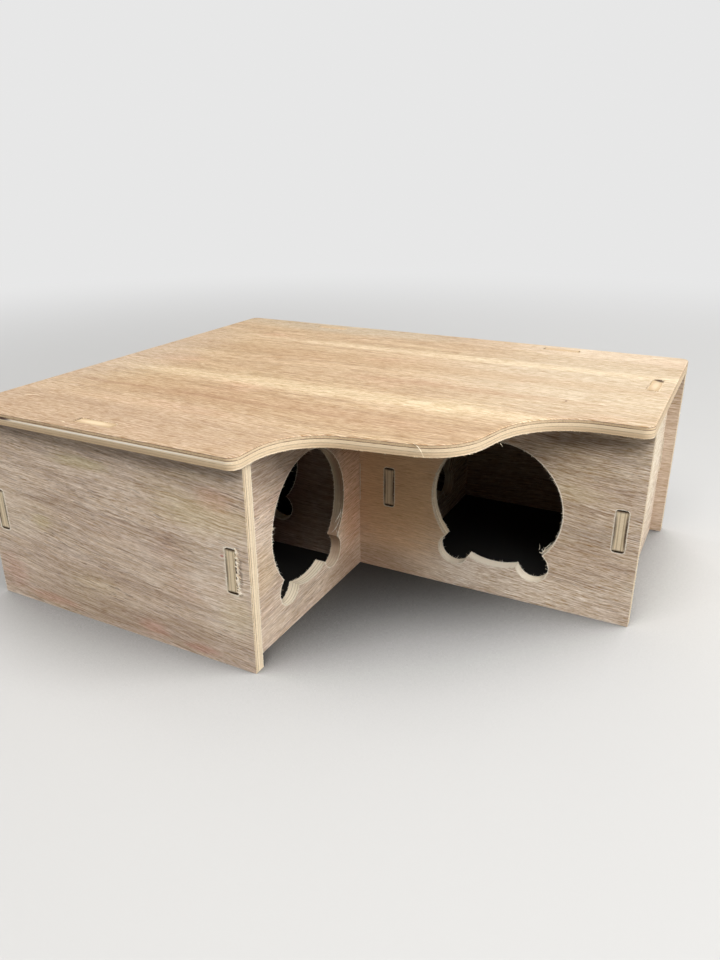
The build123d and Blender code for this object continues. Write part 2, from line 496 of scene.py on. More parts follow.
class SawnEdge(SharedGroup):
    """The sheet's sawn edge, by depth: face ply, cross ply, core, second cross ply and back ply,
    with a dark glue line at each joint. Fibres of the face plies and the core run along the grain,
    and those of the cross plies across it, so each ply shows streaks on one edge and darker specks
    of end grain on the other. Plies and lines are placed in shares of the sheet's thickness."""

    name = "Sawn edge"
    takes = {"Point": Socket.VECTOR, "Depth": Socket.NUMBER, "Sheet": Socket.NUMBER,
             "End Grain": Socket.NUMBER, "Cross Grain": Socket.NUMBER, "Face Ply": Socket.COLOUR,
             "Core Ply": Socket.COLOUR, "Cross Ply": Socket.COLOUR, "Glue": Socket.COLOUR,
             "Arris": Socket.COLOUR}
    gives = {"Color": Socket.COLOUR, "Height": Socket.NUMBER}

    WANDER = Cloud((60, 60, 60))        # moves the plies by the share below
    WANDER_SHARE = 0.03
    LENGTHWAYS = Cloud((75, 1700, 1700), 3.0, 0.65)
    CROSSWAYS = Cloud((1700, 75, 1700), 3.0, 0.65)
    FACE_PLY_END = (0.08, 0.13)
    FIRST_CROSS_PLY = (0.11, 0.33)
    SECOND_CROSS_PLY = (0.62, 0.86)
    SECOND_STRENGTH = 0.45
    PLY_BLUR, GLUE_BLUR = 0.012, 0.010
    # Middle, half width and strength of each glue line.
    GLUE_LINES = ((0.095, 0.028, 0.90), (0.310, 0.028, 0.85), (0.62, 0.018, 0.60),
                  (0.850, 0.015, 0.50))
    GLUE_DOTS = Cloud((260, 260, 60), take=(0.30, 0.62), give=(0.55, 1.0))
    SHADED_BACK = (0.50, 0.95, 0.0, 0.85)
    PALE_LIP = (0.90, 0.985, 0.0, 0.75)

    def band(self, graph: Graph, share: Signal, low: float, high: float, blur: float) -> Signal:
        """Mark the depths between two shares of the sheet.

        Args:
            graph: the group's own graph.
            share: the depth, as a share of the sheet's thickness.
            low: where the band starts.
            high: where it ends.
            blur: half of what each of its sides takes up.

        Returns:
            1 inside the band and 0 outside.
        """
        rise = graph.span(share, low - blur, low + blur)
        return rise * graph.span(share, high - blur, high + blur, 1.0, 0.0)

    def wire(self, graph: Graph, source: dict[str, Signal]) -> dict[str, Signal]:
        """Choose between two stretched noises by ply, and lay the glue lines over them.

        Args:
            graph: the group's own graph.
            source: what the group takes, by name.

        Returns:
            What it gives, by name.
        """
        point = source["Point"]
        wander = (graph.noise(point, self.WANDER) - 0.5) * self.WANDER_SHARE
        share = source["Depth"] / source["Sheet"] + wander
        lengthways = graph.noise(point, self.LENGTHWAYS)
        crossways = graph.noise(point, self.CROSSWAYS)
        first = self.band(graph, share, *self.FIRST_CROSS_PLY, self.PLY_BLUR)
        second = self.band(graph, share, *self.SECOND_CROSS_PLY, self.PLY_BLUR)
        cross = graph.math("MAXIMUM", first, second * self.SECOND_STRENGTH)
        side_on = source["Cross Grain"] ** 2.0
        end_on = source["End Grain"] ** 2.0

        outer = graph.span(share, *self.FACE_PLY_END, 1.0, 0.0)
        long_ply = graph.mix(outer, source["Core Ply"], source["Face Ply"])
        long_ply = graph.mix(graph.span(lengthways, 0.45, 0.75) * (end_on * 0.30 + 0.40),
                             long_ply, source["Cross Ply"])
        cut = graph.math("MULTIPLY_ADD", side_on, 0.62, 0.25)
        cross_ply = graph.mix(cut, source["Core Ply"], source["Cross Ply"])
        cross_ply = graph.mix(graph.span(crossways, 0.45, 0.8) * 0.5, cross_ply, source["Glue"])
        colour = graph.mix(cross, long_ply, cross_ply)
        back = graph.span(share, *self.SHADED_BACK) * side_on
        colour = graph.mix(back, colour, source["Cross Ply"])

        lines = None
        for place, half, strength in self.GLUE_LINES:
            one = self.band(graph, share, place - half, place + half, self.GLUE_BLUR) * strength
            lines = one if lines is None else graph.math("MAXIMUM", lines, one)
        colour = graph.mix(lines * graph.noise(point, self.GLUE_DOTS), colour, source["Glue"])
        lip = graph.span(share, *self.PALE_LIP) * (1.0 - side_on)
        colour = graph.mix(lip, colour, source["Arris"])
        height = (lengthways + crossways) * 0.5 - (cross * 0.5 + lines)
        return {"Color": colour, "Height": height}


class Mark(SharedGroup):
    """A soft oval mark at one place: 1 at its middle and 0 at its rim, broken up by a noise
    stretched along the grain."""

    name = "Mark"
    takes = {"Point": Socket.VECTOR, "Middle": Socket.VECTOR, "Half Size": Socket.VECTOR,
             "Broken": Socket.NUMBER}
    gives = {"Mask": Socket.NUMBER}

    TORN = Cloud((45, 420, 45), 3.0, 0.6)
    RIM, FULL = 1.0, 0.25               # half sizes from the middle

    def wire(self, graph: Graph, source: dict[str, Signal]) -> dict[str, Signal]:
        """Count the distance from the middle in half sizes, and add the noise to it.

        Args:
            graph: the group's own graph.
            source: what the group takes, by name.

        Returns:
            What it gives, by name.
        """
        away = graph.vector("SUBTRACT", source["Point"], source["Middle"])
        reach = graph.vector("LENGTH", graph.vector("DIVIDE", away, source["Half Size"]))
        torn = (graph.noise(source["Point"], self.TORN) - 0.5) * source["Broken"]
        return {"Mask": graph.span(reach + torn, self.RIM, self.FULL)}


class CutOutline(SharedGroup):
    """How far a point lies outside a rounded rectangle or a circle on the panel's face. Half Size
    is that of the straight-sided core and Radius is what is added all round it; a circle has no
    core."""

    name = "Cut outline"
    takes = {"Point": Socket.VECTOR, "Middle": Socket.VECTOR, "Half Size": Socket.VECTOR,
             "Radius": Socket.NUMBER}
    gives = {"Distance": Socket.NUMBER}

    def wire(self, graph: Graph, source: dict[str, Signal]) -> dict[str, Signal]:
        """Take the length of what lies beyond the core, less the radius. Depth is left out of it.

        Args:
            graph: the group's own graph.
            source: what the group takes, by name.

        Returns:
            What it gives, by name.
        """
        away = graph.vector("SUBTRACT", source["Point"], source["Middle"])
        flat = graph.vector("ABSOLUTE", graph.vector("MULTIPLY", away, (1, 1, 0)))
        beyond = graph.vector("MAXIMUM", graph.vector("SUBTRACT", flat, source["Half Size"]),
                              (0, 0, 0))
        return {"Distance": graph.vector("LENGTH", beyond) - source["Radius"]}


# ---------------------------------------------------------------------------------------------
# Finishes
# ---------------------------------------------------------------------------------------------

class Lie(Enum):
    """How a panel lies: the axis along its grain, the one across it, and the way into the sheet
    from its outer face."""

    FACES_FRONT = ((1, 0, 0), (0, 0, 1), (0, 1, 0))
    FACES_BACK = ((1, 0, 0), (0, 0, 1), (0, -1, 0))
    FACES_RIGHT = ((0, 1, 0), (0, 0, 1), (-1, 0, 0))
    FACES_LEFT = ((0, 1, 0), (0, 0, 1), (1, 0, 0))
    FACES_UP = ((1, 0, 0), (0, 1, 0), (0, 0, -1))


@dataclass(frozen=True)
class Blemish:
    """A mark on a panel: a knot, a darker run of grain, a stain or a split. Some marks are wholly
    or partly painted light and shade: pale where light falls, dark in shade and in the gap round a
    tab.

    middle and half_size are in millimetres, along the grain, across it and in depth.
    """

    middle: Point
    half_size: Point
    colour: str
    strength: float = 0.5
    broken: float = 0.8


@dataclass(frozen=True)
class Cut:
    """An opening's outline on a panel's face, in millimetres: a core, along and across the grain,
    and a radius added all round it."""

    along: float
    across: float
    radius: float
    half_along: float = 0.0
    half_across: float = 0.0


@dataclass(frozen=True)
class VeneerTones:
    """Colours of one veneer, and how strongly each of its patterns shows."""

    pale: str
    middle: str
    dark: str
    pore: str
    pink: str
    straw: str
    band_share: float
    line_share: float
    pore_share: float
    patch_share: float
    grain_share: float


@dataclass(frozen=True)
class EdgeTones:
    """Colours of the plies on a sawn edge."""

    face: str
    core: str
    cross: str
    glue: str
    arris: str


WALL_EDGE = EdgeTones(face="EAD4B2", core="F2E0C2", cross="D2B48C", glue="86643F", arris="F8ECD6")
ROOF_EDGE = EdgeTones(face="CDB18E", core="EED7B5", cross="CFB28C", glue="6A4A34", arris="F6E8D0")
WALL_VENEER = VeneerTones(
    pale="EBD9C3", middle="DDC6AF", dark="A08676", pore="6E584A", pink="DBAE98", straw="D9C79C",
    band_share=0.36, line_share=0.50, pore_share=0.55, patch_share=0.28, grain_share=1.0)
ROOF_VENEER = VeneerTones(
    pale="CFB390", middle="BEA17E", dark="95765A", pore="80624A", pink="CFA488", straw="D2BE96",
    band_share=0.75, line_share=0.50, pore_share=0.50, patch_share=0.36, grain_share=1.25)


@dataclass(frozen=True)
class PlywoodFinish:
    """Bare plywood, as one panel shows it. calm is a place where the grain shows less. cuts are the
    openings with a pale line of raised fibres round them. The tint of the inner face, which looks
    into the house, is painted shade."""

    name: str
    lie: Lie
    outer_face: float
    seed: float
    veneer: VeneerTones
    edge: EdgeTones
    slope: float = 0.0
    # marks on the faces and on the edges; some are painted light and shade
    blemishes: tuple[Blemish, ...] = ()
    edge_blemishes: tuple[Blemish, ...] = ()
    calm: Blemish | None = None
    sheet: float = SHEET * MM
    roughness: float = 0.62
    specular: float = 0.35
    bump: tuple[float, float] = (0.55, 0.00018)
    # painted shade: a tint multiplied into the inner face, which looks into the house
    inner_tint: str = "D2BAA4"
    rounding: float = 0.0
    cuts: tuple[Cut, ...] = ()
    fuzz: str = "FCF2E0"
    fuzz_share: float = 0.88
    fuzz_width: float = 0.75 * MM
    fuzz_noise: Cloud = Cloud((500, 900, 500), rough=0.6)

    def mask(self, graph: Graph, point: Signal, blemish: Blemish) -> Signal:
        """Find how strongly a mark shows at a point.

        Args:
            graph: the material's graph.
            point: the place in the panel's own measures.
            blemish: the mark.

        Returns:
            The strength there, from 0 to the mark's own strength.
        """
        middle, half = (tuple(c * MM for c in size) for size in (blemish.middle, blemish.half_size))
        return graph.group(Mark(), Point=point, Middle=middle, Half_Size=half,
                           Broken=blemish.broken)["Mask"] * blemish.strength

    def marked(self, graph: Graph, point: Signal, colour: Signal,
               blemishes: tuple[Blemish, ...]) -> Signal:
        """Lay marks over a colour, one after the other.

        Args:
            graph: the material's graph.
            point: the place in the panel's own measures.
            colour: the colour below the marks.
            blemishes: the marks.

        Returns:
            The colour with the marks on it.
        """
        for blemish in blemishes:
            colour = graph.mix(self.mask(graph, point, blemish), colour, tone(blemish.colour))
        return colour

    def fuzzed(self, graph: Graph, point: Signal, colour: Signal) -> Signal:
        """Lay a pale line of raised fibres round every opening.

        Args:
            graph: the material's graph.
            point: the place in the panel's own measures.
            colour: the colour below the line.

        Returns:
            The colour with the line on it.
        """
        away = 1.0
        for cut in self.cuts:
            one = graph.group(CutOutline(), Point=point,
                              Middle=(cut.along * MM, cut.across * MM, 0.0),
                              Half_Size=(cut.half_along * MM, cut.half_across * MM, 0.0),
                              Radius=cut.radius * MM)["Distance"]
            away = graph.math("MINIMUM", away, one)
        width = self.fuzz_width
        ragged = graph.math("MULTIPLY_ADD", graph.noise(point, self.fuzz_noise), width * 1.6, away)
        line = graph.span(ragged, width * 0.9, width * 1.7, self.fuzz_share, 0.0)
        return graph.mix(line, colour, tone(self.fuzz))

    def face(self, graph: Graph, space: dict[str, Signal]) -> tuple[Signal, Signal]:
        """Lay the veneer on the faces, with its marks, the inner face's painted shade and the
        openings.

        Args:
            graph: the material's graph.
            space: the panel's own measures.

        Returns:
            Colour and height.
        """
        point, tones = space["Point"], self.veneer
        clear = 1.0 - self.mask(graph, point, self.calm) if self.calm else 1.0
        grain, line, pore = (graph.math("MULTIPLY", clear, share)
                             for share in (tones.grain_share, tones.line_share, tones.pore_share))
        veneer = graph.group(
            Veneer(), Point=point, Seed=self.seed, Slope=self.slope, Pale=tone(tones.pale),
            Middle=tone(tones.middle), Dark=tone(tones.dark), Pore=tone(tones.pore),
            Pink=tone(tones.pink), Straw=tone(tones.straw), Band_Share=tones.band_share,
            Line_Share=line, Pore_Share=pore, Patch_Share=tones.patch_share, Grain_Share=grain)
        colour = self.marked(graph, point, veneer["Color"], self.blemishes)
        # painted shade: the inner face, which looks into the house, is darkened by a multiplied
        # tint
        inside = graph.span(space["Depth"], self.sheet * 0.4, self.sheet * 0.6)
        colour = graph.mix(inside, colour, tone(self.inner_tint), "MULTIPLY")
        colour = graph.vector("MULTIPLY", colour, veneer["Shade"])
        if self.cuts:
            colour = self.fuzzed(graph, point, colour)
        return colour, veneer["Height"]

    def sawn(self, graph: Graph, space: dict[str, Signal]) -> tuple[Signal, Signal]:
        """Lay the plies on the sawn edges, with their marks.

        Args:
            graph: the material's graph.
            space: the panel's own measures.

        Returns:
            Colour and height.
        """
        plies = graph.group(
            SawnEdge(), Point=space["Point"], Depth=space["Depth"], Sheet=self.sheet,
            End_Grain=space["End Grain"], Cross_Grain=space["Cross Grain"],
            Face_Ply=tone(self.edge.face), Core_Ply=tone(self.edge.core),
            Cross_Ply=tone(self.edge.cross), Glue=tone(self.edge.glue),
            Arris=tone(self.edge.arris))
        colour = self.marked(graph, space["Point"], plies["Color"], self.edge_blemishes)
        return colour, plies["Height"]

    def material(self) -> bpy.types.Material:
        """Build the material: veneer on the faces and plies on the edges.

        The two faces lie at no depth and at a whole sheet's depth. All between is edge, apart from
        a rounded upper edge, where the veneer runs over.

        Returns:
            The new material.
        """
        made = bpy.data.materials.new(self.name)
        made.use_nodes = True
        graph = Graph(made.node_tree)
        coordinates = graph.outputs("TexCoord")
        along, across, inward = self.lie.value
        space = graph.group(
            PanelSpace(), Point=coordinates["Object"], Facing=coordinates["Normal"], Along=along,
            Across=across, Inward=inward, Outer_Face=self.outer_face)
        face_colour, face_height = self.face(graph, space)
        edge_colour, edge_height = self.sawn(graph, space)

        off_middle = abs(space["Depth"] - self.sheet / 2)
        on_face = graph.span(off_middle, self.sheet * 0.490, self.sheet * 0.497)
        if self.rounding:
            wrapped = graph.span(space["Depth"], self.rounding, self.rounding * 0.7)
            on_face = graph.math("MAXIMUM", on_face, wrapped)
        colour = graph.mix(on_face, edge_colour, face_colour)
        height = graph.outputs("Mix", {"data_type": "FLOAT"}, Factor=on_face, A=edge_height,
                               B=face_height)["Result"]
        strength, distance = self.bump
        bump = graph.outputs("Bump", Strength=strength, Distance=distance, Height=height)["Normal"]
        rough = graph.span(height, -1.0, 1.0, self.roughness + 0.12, self.roughness - 0.08)
        shader = graph.outputs("BsdfPrincipled", Base_Color=colour, Roughness=rough, Normal=bump,
                               Specular_IOR_Level=self.specular)["BSDF"]
        graph.node("OutputMaterial", Surface=shader)
        return made


@dataclass(frozen=True)
class TornWood:
    """Pale torn fibres and slivers."""

    name: str
    pale: str
    dark: str
    roughness: float = 0.75
    bump: tuple[float, float] = (0.4, 0.0001)
    fine: Cloud = Cloud((900, 900, 900))

    def material(self) -> bpy.types.Material:
        """Build the material: two tones mixed by a fine noise.

        Returns:
            The new material.
        """
        made = bpy.data.materials.new(self.name)
        made.use_nodes = True
        graph = Graph(made.node_tree)
        fine = graph.noise(graph.outputs("TexCoord")["Object"], self.fine)
        colour = graph.mix(graph.span(fine, 0.35, 0.7), tone(self.pale), tone(self.dark))
        strength, distance = self.bump
        bump = graph.outputs("Bump", Strength=strength, Distance=distance, Height=fine)["Normal"]
        shader = graph.outputs("BsdfPrincipled", Base_Color=colour, Roughness=self.roughness,
                               Normal=bump)["BSDF"]
        graph.node("OutputMaterial", Surface=shader)
        return made


# ---------------------------------------------------------------------------------------------
# Meshes
# ---------------------------------------------------------------------------------------------

def dress(node: str, material: bpy.types.Material) -> None:
    """Give a panel's own solid its finish.

    Args:
        node: the panel.
        material: its finish.
    """
    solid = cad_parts[node]
    solid.data.materials.clear()
    solid.data.materials.append(material)
    LOG.info("%s: dressed", node)


def add_piece(name: str, mesh_data: tuple[np.ndarray, Faces], material: bpy.types.Material,
              body: str) -> None:
    """Make a mesh piece and let it ride on a body.

    Args:
        name: the piece's name.
        mesh_data: corners, one row each, in metres, and the corner numbers of each face.
        material: its finish.
        body: the body that it moves with.
    """
    points, faces = mesh_data
    low, high = (np.array(corner) for corner in cad_box)
    points = np.clip(points, low - (PROUD, PROUD, 0), high + PROUD)
    mesh = bpy.data.meshes.new(name)
    mesh.from_pydata(points, [], faces)
    mesh.polygons.foreach_set("use_smooth", np.ones(len(mesh.polygons), bool))
    mesh.update()
    piece = bpy.data.objects.new(name, mesh)
    bpy.context.scene.collection.objects.link(piece)
    piece.data.materials.append(material)
    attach(piece, body)
    LOG.info("%s: %d faces", name, len(mesh.polygons))


def slivers(paths: np.ndarray, widths: np.ndarray, flatness: float,
            sides: int) -> tuple[np.ndarray, Faces]:
    """Wrap closed tapering slivers round many paths at once.

    A ring of corners stands round each point of a path: the middle, plus the width times the cosine
    of the ring angle sideways, plus the width times the flatness times its sine upwards. Sideways
    is the path's direction crossed with a fixed slant axis. One flat face closes each end.

    Args:
        paths: slivers by points by 3, in metres.
        widths: half widths, slivers by points, small at the tips.
        flatness: thickness over width.
        sides: corners to a ring.

    Returns:
        Corners, and the corner numbers of each face.
    """
    count, rings, _ = paths.shape
    ahead = np.gradient(paths, axis=1)
    ahead /= np.linalg.norm(ahead, axis=2, keepdims=True) + TINY
    slant = np.array([0.31, 0.47, 0.83])
    side = np.cross(ahead, slant)
    side /= np.linalg.norm(side, axis=2, keepdims=True) + TINY
    lift = np.cross(ahead, side)
    angle = (np.arange(sides) * 2 * math.pi / sides)[:, None]
    ring = (np.cos(angle) * side[:, :, None, :]
            + flatness * np.sin(angle) * lift[:, :, None, :])
    points = paths[:, :, None, :] + widths[:, :, None, None] * ring

    corner = np.arange(count * rings * sides).reshape(count, rings, sides)
    after = np.roll(corner, -1, axis=2)
    around = np.stack([corner[:, :-1], after[:, :-1], after[:, 1:], corner[:, 1:]], axis=-1)
    ends = np.concatenate([corner[:, 0, ::-1], corner[:, -1]])
    return points.reshape(-1, 3), around.reshape(-1, 4).tolist() + ends.tolist()


@dataclass(frozen=True)
class Rims:
    """Sharp edges of a panel, as straight stretches from start to end in metres. Way points off the
    panel's edge, out points off its face, and grain runs along its grain."""

    start: np.ndarray
    end: np.ndarray
    way: np.ndarray
    out: np.ndarray
    grain: np.ndarray

    def only(self, kept: np.ndarray) -> "Rims":
        """The stretches that a mask keeps."""
        return Rims(*(getattr(self, part.name)[kept] for part in fields(self)))

    def middle(self) -> np.ndarray:
        """The middle of each stretch."""
        return (self.start + self.end) / 2


def joined(rims: list[Rims]) -> Rims:
    """All the stretches of several panels."""
    return Rims(*(np.concatenate([getattr(r, part.name) for r in rims]) for part in fields(Rims)))


def panel_rims(node: str, lie: Lie) -> Rims:
    """Find the sharp edges round both faces of a panel.

    A triangle of the panel's sawn edge stands square to its faces. Where two of its corners lie on
    a face, the side between them is a sharp edge, and the triangle's own normal points off the
    panel there.

    Args:
        node: the panel.
        lie: how it lies.

    Returns:
        The sharp edges round the face that looks outwards and the one that looks inwards.
    """
    square_within, level_within = 0.05, 0.01 * MM
    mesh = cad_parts[node].data
    places = np.empty(len(mesh.vertices) * 3)
    mesh.vertices.foreach_get("co", places)
    places = places.reshape(-1, 3)
    mesh.calc_loop_triangles()
    corners = np.empty(len(mesh.loop_triangles) * 3, int)
    mesh.loop_triangles.foreach_get("vertices", corners)
    triangles = places[corners.reshape(-1, 3)]
    along, _, inward = (np.array(axis, float) for axis in lie.value)
    normal = np.cross(triangles[:, 1] - triangles[:, 0], triangles[:, 2] - triangles[:, 0])
    normal /= np.linalg.norm(normal, axis=1, keepdims=True) + TINY * MM
    square = np.abs(normal @ inward) < square_within
    triangles, normal = triangles[square], normal[square]
    depth = triangles @ inward
    face = (places @ inward).min()
    found = []
    for level, out in ((face, -inward), (face + SHEET * MM, inward)):
        on_level = np.abs(depth - level) < level_within
        for a, b in ((0, 1), (1, 2), (2, 0)):
            both = on_level[:, a] & on_level[:, b]
            count = (both.sum(), 1)
            found.append((triangles[both, a], triangles[both, b], normal[both],
                          np.tile(out, count), np.tile(along, count)))
    return Rims(*(np.concatenate(part) for part in zip(*found)))


@dataclass(frozen=True)
class FibreFringe:
    """Fibres torn out along a cut edge. They are longest and densest where the cut crosses the
    grain. thinnest is the share of them that is left where it runs along the grain."""

    per_mm: float = 3.0
    length: float = 0.6 * MM
    width: float = 0.14 * MM
    thinnest: float = 0.45
    seed: int = 3
    root: float = 0.1 * MM
    taper: tuple[float, ...] = (1.0, 0.9, 0.6, 0.1)

    def grow(self, rims: Rims) -> tuple[np.ndarray, Faces]:
        """Grow fibres on sharp edges.

        A fibre starts at a random place on an edge and heads off it and along the grain, mixed with
        a random slant, then bends. Its place along its own length is
        start + length * (s * way + s^2 * bend / 2).

        Args:
            rims: the sharp edges.

        Returns:
            Corners and faces of all the fibres.
        """
        random = np.random.default_rng(self.seed)
        run = np.linalg.norm(rims.end - rims.start, axis=1)
        reach = np.cumsum(run)
        count = int(reach[-1] / MM * self.per_mm)
        pick = np.searchsorted(reach, random.random(count) * reach[-1]).clip(0, len(run) - 1)
        crossing = np.abs(np.sum(rims.way * rims.grain, axis=1))[pick]
        kept = random.random(count) < self.thinnest + (1 - self.thinnest) * crossing
        pick, crossing = pick[kept], crossing[kept]
        count = len(pick)
        share = random.random((count, 1))
        start = rims.start[pick] * (1 - share) + rims.end[pick] * share
        out, off, grain = rims.out[pick], rims.way[pick], rims.grain[pick]
        along = np.sign(np.sum(off * grain, axis=1))[:, None] * grain
        way = off * 0.5 + along * crossing[:, None] + random.normal(0, 0.45, (count, 3))
        way += out * random.uniform(0.0, 0.6, (count, 1))
        way /= np.linalg.norm(way, axis=1, keepdims=True) + TINY
        bend = out * random.uniform(-0.1, 0.5, (count, 1)) + random.normal(0, 0.25, (count, 3))
        length = self.length * random.lognormal(-0.25, 0.6, count).clip(0.25, 3.2)
        s = np.linspace(0, 1, len(self.taper))[None, :, None]
        root = start - way * self.root
        curve = s * way[:, None, :] + s ** 2 * 0.5 * bend[:, None, :]
        paths = root[:, None, :] + length[:, None, None] * curve
        widths = self.width * random.uniform(0.6, 1.4, (count, 1)) * np.array(self.taper)
        return slivers(paths, widths, 0.6, 3)


@dataclass(frozen=True)
class Sliver:
    """One splinter from start over a middle point to its tip, in millimetres."""

    start: Point
    middle: Point
    tip: Point
    width: float = 0.3


def splinters(items: tuple[Sliver, ...]) -> tuple[np.ndarray, Faces]:
    """Build splinters as smooth curves through three points.

    The curve is the quadratic (1-s)^2 start + 2 s (1-s) control + s^2 tip, with its control point
    set so that it passes through the middle point at s = 1/2. The half width rises to its full size
    and falls to a point: 0.12 + 0.88 |sin(pi s^0.7)|^0.8 of the full half width.

    Args:
        items: the splinters.

    Returns:
        Corners and faces of all the splinters.
    """
    start, middle, tip = (np.array([getattr(item, part) for item in items])[:, None] * MM
                          for part in ("start", "middle", "tip"))
    control = 2 * middle - (start + tip) / 2
    s = np.linspace(0, 1, 9)
    t = s[None, :, None]
    paths = (1 - t) ** 2 * start + 2 * (t * (1 - t)) * control + t ** 2 * tip
    profile = 0.12 + 0.88 * np.abs(np.sin(np.pi * s ** 0.7)) ** 0.8
    widths = np.array([item.width for item in items])[:, None] * MM / 2 * profile
    return slivers(paths, widths, 0.45, 6)


def outer_face(node: str, lie: Lie) -> float:
    """Find where a panel's outer face stands.

    Args:
        node: the panel.
        lie: how it lies.

    Returns:
        The face's distance from the origin along the way into the sheet, in metres.
    """
    low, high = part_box(node)
    return sum(way * (first if way > 0 else last)
               for way, first, last in zip(lie.value[2], low, high))


# ---------------------------------------------------------------------------------------------
# The walls
# ---------------------------------------------------------------------------------------------

@dataclass(frozen=True)
class Panel:
    """One upright panel, in millimetres.

    Places along it are in X where it faces the front or the back, and in Y where it faces a side.
    slots are the middles of its slots, and start_tab and end_tab are the middles of the walls that
    the tabs on its two ends go through. doorways are places along it and up. The feet of its
    doorways get a pale tone, given with how strongly it shows: the freshly cut wood's own tone and
    partly a painted highlight where the feet face up to the light. foot_plies are the depths of the
    lines on them.
    """

    node: str
    lie: Lie
    seed: float
    slope: float
    slots: tuple[float, ...] = ()
    start_tab: float | None = None
    end_tab: float | None = None
    roof_tabs: tuple[float, ...] = ()
    roof_tab_tone: str = ""
    doorways: tuple[tuple[float, float], ...] = ()
    # pale tone of the doorways' feet: the cut wood's own tone, partly a painted highlight where
    # they face up to the light
    foot_tone_and_highlight: tuple[str, float] = ("FAE8C8", 0.80)
    foot_plies: tuple[float, ...] = ()
    # marks on the faces; some are painted light and shade
    marks: tuple[Blemish, ...] = ()
    edge_marks: tuple[Blemish, ...] = ()
    calm: Blemish | None = None
    grain: float = WALL_VENEER.grain_share
    # painted shade: a tint multiplied into the inner face, which looks into the house
    inner_tint: str = "D2BAA4"
    fuzz_width: float = 0.75

    def joints(self) -> tuple[float, ...]:
        """Middles of the walls that this one meets."""
        return tuple(place for place in (self.start_tab, *self.slots, self.end_tab)
                     if place is not None)

    def tab_tips(self) -> tuple[float, ...]:
        """Where the tabs on the two ends stop."""
        ends = ((self.start_tab, -HALF_SHEET), (self.end_tab, HALF_SHEET))
        return tuple(place + way for place, way in ends if place is not None)

    def cuts(self) -> tuple[Cut, ...]:
        """Draw up the outlines of the openings.

        Returns:
            The slots, then the round parts of the doorways, then their ears.
        """
        slots = tuple(Cut(along, JOINT_HEIGHT, SLOT_RADIUS, SLOT_WIDTH / 2 - SLOT_RADIUS,
                          SLOT_LENGTH / 2 - SLOT_RADIUS) for along in self.slots)
        rounds = tuple(Cut(along, up, DOORWAY_RADIUS) for along, up in self.doorways)
        ears = tuple(Cut(along + side * EAR_ASIDE, up - EAR_DROP, EAR_RADIUS)
                     for along, up in self.doorways for side in (-1, 1))
        return slots + rounds + ears

    def feet(self) -> tuple[Blemish, ...]:
        """Mark the freshly cut feet of the doorways: a pale tone, partly a painted highlight where
        they face up to the light.

        Returns:
            Pale marks, partly painted highlight, then the lines of their plies.
        """
        pale, share = self.foot_tone_and_highlight
        # pale feet, partly a painted highlight where they face up to the light
        fresh_and_lit = [Blemish((along, 12, HALF_SHEET), (60, 24, 12), pale, share, 0.5)
                 for along, _ in self.doorways]
        plies = [Blemish((along, 12, depth), (60, 24, 0.28), "A07C54", 0.55, 0.5)
                 for along, _ in self.doorways for depth in self.foot_plies]
        return (*fresh_and_lit, *plies)

    def tabs(self) -> tuple[Blemish, ...]:
        """Mark the tips of the tabs.

        Returns:
            At the panel's ends smears, then the lines of their plies, and then the tops of the tabs
            in the roof.
        """
        smears = [Blemish((along, JOINT_HEIGHT, HALF_SHEET), (6, 24, 8), "E4D0AC", 0.45, 0.8)
                  for along in self.tab_tips()]
        plies = [Blemish((along, JOINT_HEIGHT, depth), (6, 24, 0.34), "8E6C48", 0.36, 0.9)
                 for along in self.tab_tips() for depth in (1.5, 3.9)]
        tops = [Blemish((along, ROOF_TOP, HALF_SHEET), size, colour, share, 0.3)
                for along in self.roof_tabs
                for size, colour, share in (((60, 8, 40), "C4A884", 1.0),
                                            ((12, 5, 2.7), self.roof_tab_tone, 0.90))]
        return (*smears, *plies, *tops)

    def gap_shade(self) -> tuple[Blemish, ...]:
        """Paint shade into the narrow gap round each tab: dark marks on the cut wood where shade
        falls.

        Returns:
            Painted shade at the ends of slots and tabs, then along the sides of the tips.
        """
        reach = SLOT_LENGTH / 2 - 0.4
        # painted shade in the gap at each end of a slot
        ends = [Blemish((along, up, HALF_SHEET), (8.0, 1.7, 7.0), "40260F", 0.97, 0.25)
                for along in self.joints() for up in (JOINT_HEIGHT + reach, JOINT_HEIGHT - reach)]
        # painted shadow along both sides of each tab's tip
        sides = [Blemish((along, JOINT_HEIGHT, depth), (2.5, 15, 1.5), "4A3424", share, 0.25)
                 for along in self.tab_tips() for depth, share in ((0.0, 0.95), (SHEET, 0.75))]
        return (*ends, *sides)

    def finish(self) -> PlywoodFinish:
        """Choose the panel's plywood, counted from its own outer face.

        Returns:
            The finish.
        """
        return PlywoodFinish(
            name=f"{self.node}_plywood", lie=self.lie, outer_face=outer_face(self.node, self.lie),
            seed=self.seed, veneer=replace(WALL_VENEER, grain_share=self.grain), edge=WALL_EDGE,
            slope=self.slope, blemishes=self.marks,
            edge_blemishes=self.feet() + self.tabs() + self.edge_marks + self.gap_shade(),
            calm=self.calm, inner_tint=self.inner_tint, cuts=self.cuts(),
            fuzz_width=self.fuzz_width * MM)


